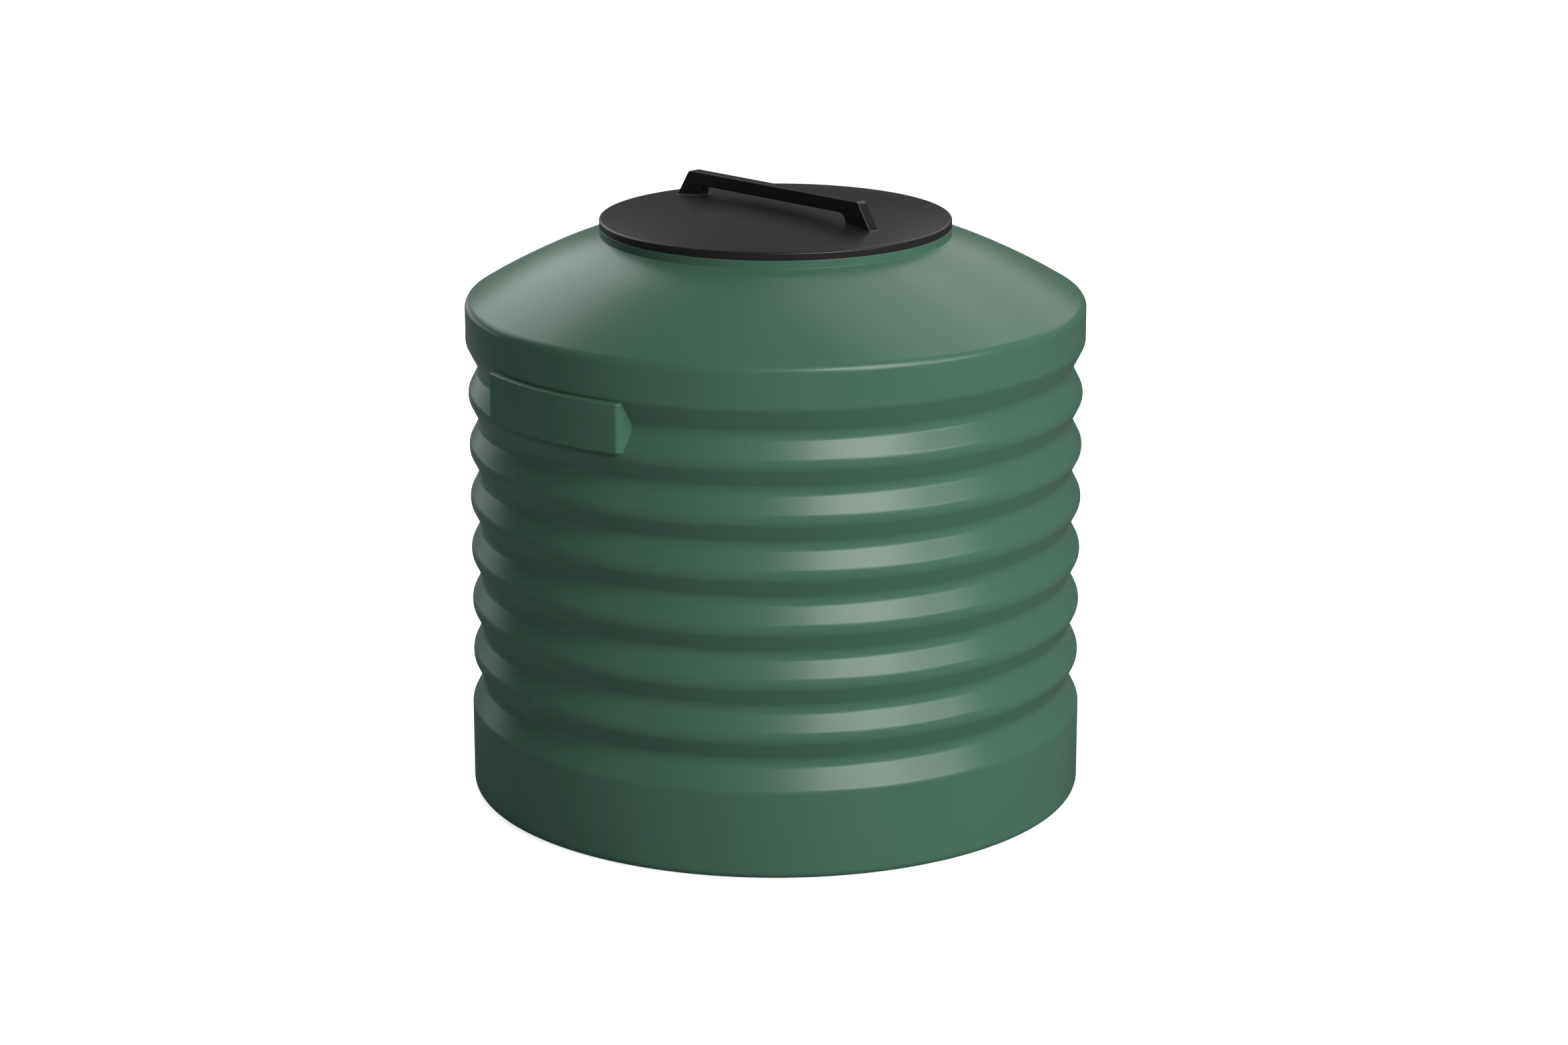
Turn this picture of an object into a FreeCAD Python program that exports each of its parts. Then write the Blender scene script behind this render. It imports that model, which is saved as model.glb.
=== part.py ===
# A round ribbed water tank: a moulded shell, a label pad in its top groove and a lift-off lid.
# The origin is the centre of the base on the floor, Z is up, the pad faces -Y. Millimetres and degrees.
import FreeCAD, Part
import os
import Sketcher

SIZES = {
    # shell
    "band_radius": 460,
    "wall": 6,
    "base_edge_round": 11,
    "rib_foot": 130.1,
    "rib_pitch": 79.65,
    "rib_depth": 20.1,
    "ridge_round": 21,
    "groove_round": 19,
    "band_round": 14,
    "shoulder_band": 58.95,
    "shoulder_round": 14.8,
    "shoulder_slope": 31.1,
    "crown_slope": 21.7,
    "bend_share": 0.4064,
    "bend_ratio": 1.8,
    "neck_radius": 260.2,
    "neck_rise": 12.2,
    "neck_foot_round": 3,
    # where the moulding is divided into pieces
    "sectors": 8,
    "floor_inset": 24,
    "roof_split_rise": 5.4,
    # label pad
    "pad_proud": 6,
    "pad_width": 268,
    "pad_margin": 7.15,
    "pad_draft": 7,
    "pad_root": 66,
    "pad_edge_round": 3,
    # lid
    "lid_edge": 11.4,
    "lid_crown": 18,
    "lid_plate": 5,
    "lid_rim_land": 7,
    "lid_edge_round": 3,
    "lid_clearance": 5,
    "spigot_wall": 6,
    "spigot_depth": 18,
    # handle
    "handle_inset": 59.7,
    "handle_lean": 25,
    "handle_leg": 49.5,
    "handle_width": 19,
    "handle_rise": 29.1,
    "handle_bar": 20,
    "handle_sink": 3.5,
    "handle_corner": 10,
    "handle_inner_corner": 14,
    "handle_edge_round": 2,
}
RIBS = 6

doc = FreeCAD.newDocument("WaterTank")
sheet = doc.addObject("Spreadsheet::Sheet", "Sizes")
for row, (alias, number) in enumerate(SIZES.items(), start=1):
    sheet.set("A%d" % row, alias)
    sheet.set("B%d" % row, str(number))
    sheet.setAlias("B%d" % row, alias)
doc.recompute()


def cell(text):
    """Puts the sheet's name before every size named in an expression."""
    words = []
    for word in text.split():
        words.append("Sizes." + word if word in SIZES else word)
    return " ".join(words)


def number(text):
    """The present value of an expression, as a plain number."""
    return float(sheet.evalExpression(cell(text)))


def origin_plane(body, role):
    for feature in body.Origin.OriginFeatures:
        if feature.Role == role:
            return feature


def new_sketch(body, name, role):
    sketch = body.newObject("Sketcher::SketchObject", name)
    sketch.AttachmentSupport = [(origin_plane(body, role), "")]
    sketch.MapMode = "FlatFace"
    return sketch


def hold(sketch, kind, geometry, point, text):
    """Fixes one coordinate of a sketch point to an expression."""
    axis = -2 if kind == "DistanceX" else -1
    if text == "0":
        sketch.addConstraint(Sketcher.Constraint("PointOnObject", geometry, point, axis))
        return
    index = sketch.addConstraint(Sketcher.Constraint(kind, -1, 1, geometry, point, number(text)))
    sketch.setExpression("Constraints[%d]" % index, cell(text))


def outline(sketch, corners):
    """Draws a closed run of straight lines and holds both coordinates of every corner."""
    spots = [FreeCAD.Vector(number(across), number(up), 0) for across, up in corners]
    count = len(spots)
    for i in range(count):
        sketch.addGeometry(Part.LineSegment(spots[i], spots[(i + 1) % count]), False)
    for i in range(count):
        sketch.addConstraint(Sketcher.Constraint("Coincident", i, 2, (i + 1) % count, 1))
    for i, (across, up) in enumerate(corners):
        hold(sketch, "DistanceX", i, 1, across)
        hold(sketch, "DistanceY", i, 1, up)


def ring_edges(shape, radius, height):
    """The names of the full circles of a turned shape at one radius and height."""
    found = []
    for i, edge in enumerate(shape.Edges, start=1):
        if edge.Degenerated or not isinstance(edge.Curve, Part.Circle):
            continue
        same_size = abs(edge.Curve.Radius - radius) < 0.01
        if same_size and abs(edge.Curve.Center.z - height) < 0.01:
            found.append("Edge%d" % i)
    return found


def round_corners(body, name, corners, radius_text):
    """Rounds the circles that the named corners make, with one radius."""
    base = body.Tip
    edges = []
    for across, up in corners:
        edges += ring_edges(base.Shape, number(across), number(up))
    fillet = body.newObject("PartDesign::Fillet", name)
    fillet.Base = (base, edges)
    fillet.setExpression("Radius", cell(radius_text))
    body.Tip = fillet
    doc.recompute()


def turned(name, corners):
    """A solid made by turning an outline a full turn about the tank's axis."""
    body = doc.addObject("PartDesign::Body", name)
    sketch = new_sketch(body, name + "Outline", "XZ_Plane")
    outline(sketch, corners)
    doc.recompute()
    turn = body.newObject("PartDesign::Revolution", name + "Turn")
    turn.Profile = sketch
    turn.ReferenceAxis = (sketch, ["V_Axis"])
    turn.Angle = 360
    sketch.Visibility = False
    body.Tip = turn
    doc.recompute()
    return body


def boolean(kind, name, base, tool):
    result = doc.addObject("Part::" + kind, name)
    result.Base = base
    result.Tool = tool
    doc.recompute()
    return result


def cylinder(name, radius_text, low_text, high_text, sector=None):
    """A round bar about the tank's axis, or one sector of it."""
    bar = doc.addObject("Part::Cylinder", name)
    bar.setExpression("Radius", cell(radius_text))
    bar.setExpression("Height", cell(high_text + " - ( " + low_text + " )"))
    turn = 0
    if sector is not None:
        bar.setExpression("Angle", cell("360 / sectors"))
        turn = sector * 360.0 / number("sectors")
    spin = FreeCAD.Rotation(FreeCAD.Vector(0, 0, 1), turn)
    bar.Placement = FreeCAD.Placement(FreeCAD.Vector(0, 0, number(low_text)), spin)
    bar.setExpression("Placement.Base.z", cell(low_text))
    doc.recompute()
    return bar


# Heights and radii along the shell's outside, and the same run one wall thickness inside it.
flank_wall = "wall * sqrt( 1 + ( 2 * rib_depth / rib_pitch ) ^ 2 )"
groove_radius = "( band_radius - rib_depth )"
inner_radius = "( band_radius - wall )"
rib_head = "( rib_foot + %d * rib_pitch )" % (RIBS + 1)
flank_step = "wall * tan( atan( 2 * rib_depth / rib_pitch ) / 2 )"
shoulder_height = "( " + rib_head + " + shoulder_band )"
bend_step = "( ( band_radius - neck_radius ) * bend_share )"
bend_at = "( band_radius - " + bend_step + " )"
bend_round = "( bend_ratio * band_radius )"
bend_height = "( " + shoulder_height + " + " + bend_step + " * tan( shoulder_slope ) )"
neck_foot = "( " + bend_height + " + ( " + bend_at + " - neck_radius ) * tan( crown_slope ) )"
seat_height = "( " + neck_foot + " + neck_rise )"
floor_radius = "( band_radius - floor_inset )"
wall_split = "( rib_foot + %.1f * rib_pitch )" % (RIBS / 2 + 0.5)
roof_split = "( " + shoulder_height + " + roof_split_rise )"
mean_slope = "( ( shoulder_slope + crown_slope ) / 2 )"
bend_wall = "wall / cos( ( shoulder_slope - crown_slope ) / 2 )"
neck_bore = "( neck_radius - wall )"
bend_in_at = "( " + bend_at + " - " + bend_wall + " * sin( " + mean_slope + " ) )"
bend_in_height = "( " + bend_height + " - " + bend_wall + " * cos( " + mean_slope + " ) )"
bore_foot = "( " + bend_in_height + " + ( " + bend_in_at + " - " + neck_bore + " ) * tan( crown_slope ) )"

ridges = ["rib_foot + %d * rib_pitch" % (k + 1) for k in range(RIBS)]
grooves = ["rib_foot + %.1f * rib_pitch" % (k + 0.5) for k in range(RIBS + 1)]

out_grooves = [(groove_radius, z) for z in grooves]
out_ridges = [("band_radius", z) for z in ridges]
out_bands = [("band_radius", "rib_foot"), ("band_radius", rib_head)]
in_grooves = [("( " + groove_radius + " - " + flank_wall + " )", z) for z in grooves]
in_ridges = [("( band_radius - " + flank_wall + " )", z) for z in ridges]
in_bands = [(inner_radius, "rib_foot - " + flank_step), (inner_radius, rib_head + " + " + flank_step)]


def interleave(first, zig, zag, last):
    run = [first]
    for k in range(RIBS):
        run += [zig[k], zag[k]]
    return run + [zig[RIBS], last]


out_edge = ("band_radius", "0")
out_shoulder = ("band_radius", shoulder_height)
out_bend = (bend_at, bend_height)
out_neck = ("neck_radius", neck_foot)
outer_run = [("0", "0"), out_edge]
outer_run += interleave(out_bands[0], out_grooves, out_ridges, out_bands[1])
outer_run += [out_shoulder, out_bend, out_neck, ("neck_radius", seat_height), ("0", seat_height)]

in_edge = (inner_radius, "wall")
in_shoulder = (inner_radius, shoulder_height + " - wall * tan( ( 90 - shoulder_slope ) / 2 )")
in_bend = (bend_in_at, bend_in_height)
in_neck = (neck_bore, bore_foot)
inner_run = [("0", "wall"), in_edge]
inner_run += interleave(in_bands[0], in_grooves, in_ridges, in_bands[1])
inner_run += [in_shoulder, in_bend, in_neck, (neck_bore, seat_height), ("0", seat_height)]

outside = turned("Outside", outer_run)
round_corners(outside, "OutsideGrooves", out_grooves, "groove_round")
round_corners(outside, "OutsideRidges", out_ridges, "ridge_round")
round_corners(outside, "OutsideBands", out_bands, "band_round")
round_corners(outside, "OutsideShoulder", [out_shoulder], "shoulder_round")
round_corners(outside, "OutsideBend", [out_bend], bend_round)
round_corners(outside, "OutsideNeck", [out_neck], "neck_foot_round")
round_corners(outside, "OutsideEdge", [out_edge], "base_edge_round")

inside = turned("Inside", inner_run)
round_corners(inside, "InsideGrooves", in_grooves, "groove_round + wall")
round_corners(inside, "InsideRidges", in_ridges, "ridge_round - wall")
round_corners(inside, "InsideBands", in_bands, "band_round - wall")
round_corners(inside, "InsideShoulder", [in_shoulder], "shoulder_round - wall")
round_corners(inside, "InsideBend", [in_bend], bend_round + " - wall")
round_corners(inside, "InsideEdge", [in_edge], "base_edge_round - wall")

# The moulding is one shell, divided into a floor and rings of sectors.
shell = boolean("Cut", "Shell", outside, inside)
floor_disc = cylinder("FloorDisc", floor_radius, "0", "wall")
neck_plug = cylinder("NeckPlug", "neck_radius", roof_split, seat_height)
lower_shell = boolean("Cut", "LowerShell", shell, floor_disc)
upper_shell = boolean("Cut", "UpperShell", shell, neck_plug)
neck_ring = boolean("Common", "NeckRing", shell, neck_plug)

nodes = []


def keep(item, label):
    item.Label = label
    nodes.append(item)


keep(boolean("Common", "TankFloor", shell, floor_disc), "tank_floor")
rings = [
    ("lower_wall", lower_shell, "0", wall_split),
    ("upper_wall", shell, wall_split, roof_split),
    ("roof", upper_shell, roof_split, seat_height),
    ("access_neck", neck_ring, roof_split, seat_height),
]
reach = "band_radius + rib_depth"
for label, source, low, high in rings:
    for k in range(SIZES["sectors"]):
        wedge = cylinder("Wedge", reach, low, high, sector=k)
        keep(boolean("Common", "Sector", source, wedge), "%s_%d" % (label, k + 1))

# The label pad is a block with a round face and drafted ends, fitted into the top groove.
pad_face = "( band_radius + pad_proud )"
pad_back = "( " + pad_face + " - pad_root )"
pad_height = "( rib_pitch - pad_margin )"
pad_face_depth = "sqrt( " + pad_face + " ^ 2 - ( pad_width / 2 ) ^ 2 )"
pad_back_half = "( pad_width / 2 + ( " + pad_face_depth + " - " + pad_back + " ) * tan( pad_draft ) )"
pad_low = "( rib_foot + %.1f * rib_pitch - " % (RIBS + 0.5) + pad_height + " / 2 )"
pad_block = doc.addObject("PartDesign::Body", "PadBlock")
pad_sketch = new_sketch(pad_block, "PadOutline", "XY_Plane")
half = number("pad_width / 2")
depth = number(pad_face_depth)
back_half = number(pad_back_half)
back = number(pad_back)
left_face = FreeCAD.Vector(-half, -depth, 0)
right_face = FreeCAD.Vector(half, -depth, 0)
left_back = FreeCAD.Vector(-back_half, -back, 0)
right_back = FreeCAD.Vector(back_half, -back, 0)
face_mid = FreeCAD.Vector(0, -number(pad_face), 0)
pad_sketch.addGeometry(Part.LineSegment(left_back, left_face), False)
pad_sketch.addGeometry(Part.Arc(left_face, face_mid, right_face), False)
pad_sketch.addGeometry(Part.LineSegment(right_face, right_back), False)
pad_sketch.addGeometry(Part.LineSegment(right_back, left_back), False)
for first, first_end, second, second_end in [(0, 2, 1, 1), (1, 2, 2, 1), (2, 2, 3, 1), (3, 2, 0, 1)]:
    pad_sketch.addConstraint(Sketcher.Constraint("Coincident", first, first_end, second, second_end))
pad_sketch.addConstraint(Sketcher.Constraint("Coincident", 1, 3, -1, 1))
hold(pad_sketch, "DistanceX", 0, 2, "- pad_width / 2")
hold(pad_sketch, "DistanceX", 2, 1, "pad_width / 2")
hold(pad_sketch, "DistanceX", 0, 1, "- " + pad_back_half)
hold(pad_sketch, "DistanceY", 0, 1, "- " + pad_back)
hold(pad_sketch, "DistanceX", 3, 1, pad_back_half)
hold(pad_sketch, "DistanceY", 3, 1, "- " + pad_back)
face_size = pad_sketch.addConstraint(Sketcher.Constraint("Radius", 1, number(pad_face)))
pad_sketch.setExpression("Constraints[%d]" % face_size, cell(pad_face))
doc.recompute()
pad_rise = pad_block.newObject("PartDesign::Pad", "PadRise")
pad_rise.Profile = pad_sketch
pad_rise.setExpression("Length", cell(pad_height))
pad_sketch.Visibility = False
pad_block.Tip = pad_rise
doc.recompute()
face_edges = []
for i, edge in enumerate(pad_rise.Shape.Edges, start=1):
    if edge.CenterOfMass.y < -depth + 0.01:
        face_edges.append("Edge%d" % i)
pad_ease = pad_block.newObject("PartDesign::Fillet", "PadEase")
pad_ease.Base = (pad_rise, face_edges)
pad_ease.setExpression("Radius", cell("pad_edge_round"))
pad_block.Tip = pad_ease
pad_block.Placement = FreeCAD.Placement(FreeCAD.Vector(0, 0, number(pad_low)), FreeCAD.Rotation())
pad_block.setExpression("Placement.Base.z", cell(pad_low))
doc.recompute()
keep(boolean("Cut", "LabelPad", pad_block, outside), "label_pad")

# The lid: a shallow domed plate with a flat rim that rests on the neck.
lid_edge_top = "( " + seat_height + " + lid_edge )"
lid_top = "( " + lid_edge_top + " + lid_crown )"
spigot_radius = "( " + neck_bore + " - lid_clearance )"
spigot_bore = "( " + spigot_radius + " - spigot_wall )"
spigot_low = "( " + seat_height + " - spigot_depth )"
rim_radius = "( " + spigot_bore + " - lid_rim_land )"
dome_radius = "( ( neck_radius ^ 2 + lid_crown ^ 2 ) / ( 2 * lid_crown ) )"
lid_body = doc.addObject("PartDesign::Body", "LidPlate")
lid_sketch = new_sketch(lid_body, "LidOutline", "XZ_Plane")
dome_size = number(dome_radius)
dome_centre = FreeCAD.Vector(0, number(lid_top) - dome_size, 0)
under_size = dome_size - number("lid_plate")
rim_across = number(rim_radius)
under_edge = dome_centre.y + (under_size ** 2 - rim_across ** 2) ** 0.5
spots = [
    FreeCAD.Vector(number("neck_radius"), number(lid_edge_top), 0),
    FreeCAD.Vector(number("neck_radius"), number(seat_height), 0),
    FreeCAD.Vector(rim_across, number(seat_height), 0),
    FreeCAD.Vector(rim_across, under_edge, 0),
]
top_spot = FreeCAD.Vector(0, number(lid_top), 0)
under_spot = FreeCAD.Vector(0, number(lid_top) - number("lid_plate"), 0)


def arc_about(centre, size, low_spot, high_spot):
    """An arc of a circle between two spots, counter-clockwise."""
    start = FreeCAD.Vector(low_spot - centre)
    finish = FreeCAD.Vector(high_spot - centre)
    turn = FreeCAD.Vector(1, 0, 0)
    circle = Part.Circle(centre, FreeCAD.Vector(0, 0, 1), size)
    return Part.ArcOfCircle(circle, turn.getAngle(start), turn.getAngle(finish))


for i in range(3):
    lid_sketch.addGeometry(Part.LineSegment(spots[i], spots[i + 1]), False)
lid_sketch.addGeometry(Part.LineSegment(under_spot, top_spot), False)
lid_sketch.addGeometry(arc_about(dome_centre, dome_size, spots[0], top_spot), False)
lid_sketch.addGeometry(arc_about(dome_centre, under_size, spots[3], under_spot), False)
for first, first_end, second, second_end in [
    (0, 2, 1, 1), (1, 2, 2, 1), (2, 2, 5, 1), (5, 2, 3, 1), (3, 2, 4, 2), (4, 1, 0, 1), (4, 3, 5, 3),
]:
    lid_sketch.addConstraint(Sketcher.Constraint("Coincident", first, first_end, second, second_end))
lid_sketch.addConstraint(Sketcher.Constraint("PointOnObject", 4, 3, -2))
hold(lid_sketch, "DistanceX", 0, 1, "neck_radius")
hold(lid_sketch, "DistanceY", 0, 1, lid_edge_top)
hold(lid_sketch, "DistanceX", 1, 1, "neck_radius")
hold(lid_sketch, "DistanceY", 1, 1, seat_height)
hold(lid_sketch, "DistanceX", 2, 1, rim_radius)
hold(lid_sketch, "DistanceY", 2, 1, seat_height)
hold(lid_sketch, "DistanceX", 5, 1, rim_radius)
hold(lid_sketch, "DistanceX", 3, 1, "0")
hold(lid_sketch, "DistanceY", 3, 1, lid_top + " - lid_plate")
hold(lid_sketch, "DistanceX", 3, 2, "0")
hold(lid_sketch, "DistanceY", 3, 2, lid_top)
doc.recompute()
lid_turn = lid_body.newObject("PartDesign::Revolution", "LidTurn")
lid_turn.Profile = lid_sketch
lid_turn.ReferenceAxis = (lid_sketch, ["V_Axis"])
lid_turn.Angle = 360
lid_sketch.Visibility = False
lid_body.Tip = lid_turn
doc.recompute()
round_corners(lid_body, "LidEdge", [("neck_radius", lid_edge_top)], "lid_edge_round")
keep(lid_body, "lid_plate")

spigot = turned("LidSpigot", [
    (spigot_bore, spigot_low),
    (spigot_radius, spigot_low),
    (spigot_radius, seat_height),
    (spigot_bore, seat_height),
])
for k in range(SIZES["sectors"]):
    wedge = cylinder("Wedge", "neck_radius", spigot_low, seat_height, sector=k)
    keep(boolean("Common", "Sector", spigot, wedge), "lid_locating_ring_%d" % (k + 1))

# The handle: one flat bar on two legs that lean inward, seated on the dome.
bar_top = "( " + lid_top + " + handle_rise )"
bar_under = "( " + bar_top + " - handle_bar )"
foot_half = "( neck_radius - handle_inset )"
top_half = "( " + foot_half + " - handle_lean )"
inner_half = "( " + foot_half + " - handle_leg )"
dome_low = "( " + lid_top + " - " + dome_radius + " )"
foot = "( " + dome_low + " + sqrt( " + dome_radius + " ^ 2 - " + foot_half + " ^ 2 ) )"
sunk = "( " + foot + " - handle_sink )"
sunk_half = "( " + foot_half + " + handle_lean * handle_sink / ( " + bar_top + " - " + foot + " ) )"
grip = doc.addObject("PartDesign::Body", "HandleBlank")
grip_sketch = new_sketch(grip, "HandleOutline", "XZ_Plane")
outline(grip_sketch, [
    ("- " + sunk_half, sunk),
    ("- " + inner_half, sunk),
    ("- " + inner_half, bar_under),
    (inner_half, bar_under),
    (inner_half, sunk),
    (sunk_half, sunk),
    (top_half, bar_top),
    ("- " + top_half, bar_top),
])
doc.recompute()
grip_rise = grip.newObject("PartDesign::Pad", "HandleRise")
grip_rise.Profile = grip_sketch
grip_rise.SideType = "Symmetric"
grip_rise.setExpression("Length", cell("handle_width"))
grip_sketch.Visibility = False
grip.Tip = grip_rise
doc.recompute()


def cross_edges(shape, half_length, height):
    """The names of the edges that cross the handle at one place, on both halves."""
    found = []
    for i, edge in enumerate(shape.Edges, start=1):
        spot = edge.CenterOfMass
        crosses = abs(edge.Vertexes[0].Y - edge.Vertexes[-1].Y) > 1
        if crosses and abs(abs(spot.x) - half_length) < 0.01 and abs(spot.z - height) < 0.01:
            found.append("Edge%d" % i)
    return found


for name, half, height, size in [
    ("HandleCorners", top_half, bar_top, "handle_corner"),
    ("HandleInnerCorners", inner_half, bar_under, "handle_inner_corner"),
]:
    base = grip.Tip
    edges = cross_edges(base.Shape, number(half), number(height))
    fillet = grip.newObject("PartDesign::Fillet", name)
    fillet.Base = (base, edges)
    fillet.setExpression("Radius", cell(size))
    grip.Tip = fillet
    doc.recompute()

# The long edges of the handle are eased, except those of the sunk feet.
base = grip.Tip
long_edges = []
for i, edge in enumerate(base.Shape.Edges, start=1):
    runs_along = abs(edge.Vertexes[0].Y - edge.Vertexes[-1].Y) < 0.01
    if runs_along and edge.BoundBox.ZMax > number(foot) + 0.01:
        long_edges.append("Edge%d" % i)
ease = grip.newObject("PartDesign::Fillet", "HandleEase")
ease.Base = (base, long_edges)
ease.setExpression("Radius", cell("handle_edge_round"))
grip.Tip = ease
doc.recompute()
dome = doc.addObject("Part::Sphere", "Dome")
dome.setExpression("Radius", cell(dome_radius))
dome.setExpression("Placement.Base.z", cell(dome_low))
doc.recompute()
keep(boolean("Cut", "LidHandle", grip, dome), "lid_handle")

doc.recompute()
for item in doc.Objects:
    if "Invalid" in item.State or "Error" in item.State:
        raise RuntimeError("%s did not build" % item.Label)
os.makedirs("parts", exist_ok=True)
for item in nodes:
    if item.Shape.isNull() or not item.Shape.isValid():
        raise RuntimeError("%s has no sound shape" % item.Label)
    if len(item.Shape.Solids) != 1:
        raise RuntimeError("%s has %d solids" % (item.Label, len(item.Shape.Solids)))
    item.Shape.exportStep("parts/%s.step" % item.Label)
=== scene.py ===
import math

import bmesh
import bpy
from mathutils import Matrix, Vector


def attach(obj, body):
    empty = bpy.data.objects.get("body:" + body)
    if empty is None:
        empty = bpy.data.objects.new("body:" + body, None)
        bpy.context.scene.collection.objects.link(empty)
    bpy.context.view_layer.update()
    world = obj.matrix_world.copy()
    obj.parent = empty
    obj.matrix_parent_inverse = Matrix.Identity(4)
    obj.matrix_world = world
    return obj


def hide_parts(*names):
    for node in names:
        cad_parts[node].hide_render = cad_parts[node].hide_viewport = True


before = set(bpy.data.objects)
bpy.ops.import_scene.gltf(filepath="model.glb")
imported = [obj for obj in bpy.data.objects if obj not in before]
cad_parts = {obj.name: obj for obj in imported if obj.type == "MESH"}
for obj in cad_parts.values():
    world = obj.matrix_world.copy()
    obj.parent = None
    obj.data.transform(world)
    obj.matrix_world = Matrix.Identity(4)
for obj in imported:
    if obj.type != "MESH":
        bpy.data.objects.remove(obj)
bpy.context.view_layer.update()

# A round ribbed water tank with a lift-off lid. Sizes are in millimetres and follow the
# solids, but the foot of the neck is crisper here, and the short edges at the label pad's
# corners are rounded only here. Radii are from the tank's axis. The pad faces -Y, and Z is up.
MM = 0.001
Z_AXIS = Vector((0, 0, 1))
HALF_SQUARE = math.pi / 4

# The moulding.
BAND = 460.0
WALL = 6.0
RIBS = 6
RIB_FOOT = 130.1
RIB_PITCH = 79.65
RIB_DEPTH = 20.1
SHOULDER_BAND = 58.95
SHOULDER_SLOPE = math.radians(31.1)
CROWN_SLOPE = math.radians(21.7)
BEND_SHARE = 0.4064
NECK = 260.2
NECK_RISE = 12.2
RIB_HEAD = RIB_FOOT + (RIBS + 1) * RIB_PITCH
SHOULDER = RIB_HEAD + SHOULDER_BAND
BEND_STEP = (BAND - NECK) * BEND_SHARE
BEND_AT = BAND - BEND_STEP
BEND_HEIGHT = SHOULDER + BEND_STEP * math.tan(SHOULDER_SLOPE)
NECK_FOOT = BEND_HEIGHT + (BEND_AT - NECK) * math.tan(CROWN_SLOPE)
SEAT = NECK_FOOT + NECK_RISE
FLANK = math.atan(2 * RIB_DEPTH / RIB_PITCH)
BASE_EDGE_ROUND = 11.0
RIDGE_ROUND = 21.0
GROOVE_ROUND = 19.0
BAND_ROUND = 14.0
SHOULDER_ROUND = 14.8
BEND_ROUND = 1.8 * BAND
NECK_FOOT_ROUND = 1.0
SEAT_EASE = 0.8
BORE_EASE = 1.5

# The lid.
LID_EDGE = 11.4
DOME_RISE = 18.0
LID_PLATE = 5.0
LID_EDGE_ROUND = 3.0
LID_EDGE_TURN = math.radians(43)
LID_EDGE_TOP = SEAT + LID_EDGE
LID_TOP = LID_EDGE_TOP + DOME_RISE
DOME = (NECK ** 2 + (LID_TOP - LID_EDGE_TOP) ** 2) / (2 * (LID_TOP - LID_EDGE_TOP))
DOME_CENTRE = LID_TOP - DOME
SPIGOT_GAP = 5.0
SPIGOT_WALL = 6.0
SPIGOT_DEPTH = 18.0
SPIGOT_EASE = 1.5
SPIGOT = NECK - WALL - SPIGOT_GAP
SPIGOT_BORE = SPIGOT - SPIGOT_WALL
SPIGOT_LOW = SEAT - SPIGOT_DEPTH
RIM_INSET = 7.0
RIM = SPIGOT_BORE - RIM_INSET

# The handle. The legs lean in from the feet to the bar's top.
FOOT_INSET = 59.7
LEG_LEAN = 25.0
LEG_DEPTH = 49.5
BAR_RISE = 29.1
BAR_DEPTH = 20.0
FOOT_SUNK = 2.5
HANDLE_FOOT = NECK - FOOT_INSET
HANDLE_TOP = HANDLE_FOOT - LEG_LEAN
HANDLE_INNER = HANDLE_FOOT - LEG_DEPTH
HANDLE_WIDTH = 19.0
BAR_TOP = LID_TOP + BAR_RISE
BAR_UNDER = BAR_TOP - BAR_DEPTH
HANDLE_TOP_ROUND = 10.0
HANDLE_TOP_TURN = math.radians(28)
HANDLE_INNER_ROUND = 14.0
HANDLE_EDGE_ROUND = 2.0

# The label pad, whose back is sunk behind the band above, the groove and the ridge below.
PAD_PROUD = 6.0
PAD_WIDTH = 268.0
PAD_MARGIN = 7.15
PAD_DRAFT = math.radians(7.0)
PAD_SUNK_HIGH = 4.0
PAD_SUNK_GROOVE = 1.2
PAD_SUNK_LOW = 6.5
PAD_EDGE_ROUND = 3.0
PAD_FACE = BAND + PAD_PROUD
PAD_FACE_DEPTH = math.sqrt(PAD_FACE ** 2 - (PAD_WIDTH / 2) ** 2)
PAD_HEIGHT = RIB_PITCH - PAD_MARGIN
PAD_MIDDLE = RIB_FOOT + (RIBS + 0.5) * RIB_PITCH
PAD_LOW = PAD_MIDDLE - PAD_HEIGHT / 2
PAD_HIGH = PAD_MIDDLE + PAD_HEIGHT / 2

# The block is turned wider than the pad, in steps that leave no strip at the cut ends
# that is narrower than their rounding.
PAD_REACH = math.radians(22.0)
PAD_TURN_STEPS = 50

# The small hollow fillets, and how many stations lie along them.
COVE_SUNK = 0.6
COVE_STEPS = 6
PAD_TOP_COVE = 3.0
PAD_END_COVE = 1.8
FOOT_COVE = 2.0
EDGE_STATIONS = 48
CORNER_STATIONS = 6
END_STATIONS = 36
FOOT_STATIONS = 12

# How the shapes are turned, shaded and told apart. Turns are in radians.
TURN_STEPS = 192
SECTORS = 8
HARD_TURN = math.radians(40.0)
PAD_SHARP_TURN = 0.6
HANDLE_SHARP_TURN = 1.0
FLAT_TURN = math.radians(0.2)
SIDEWAYS = 0.9

# How near counts as the same place, and how long an edge across the handle is at least,
# in metres.
SAME_WITHIN = 1e-6
SPOT_WITHIN = 1e-5
RING_WITHIN = 2e-5
CROSSING = 1e-3


def finished(name, bm, body, material, nodes):
    """Makes an object of a shape, lets it ride on its body and stand for its solids."""
    mesh = bpy.data.meshes.new(name)
    for face in bm.faces:
        face.smooth = True
    for edge in bm.edges:
        edge.smooth = edge.calc_face_angle(0) < HARD_TURN
    bm.to_mesh(mesh)
    bm.free()
    piece = bpy.data.objects.new(name, mesh)
    bpy.context.scene.collection.objects.link(piece)
    mesh.materials.append(material)
    flat = piece.modifiers.new("flat_faces", "WEIGHTED_NORMAL")
    flat.keep_sharp = True
    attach(piece, body)
    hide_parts(*nodes)


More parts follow.
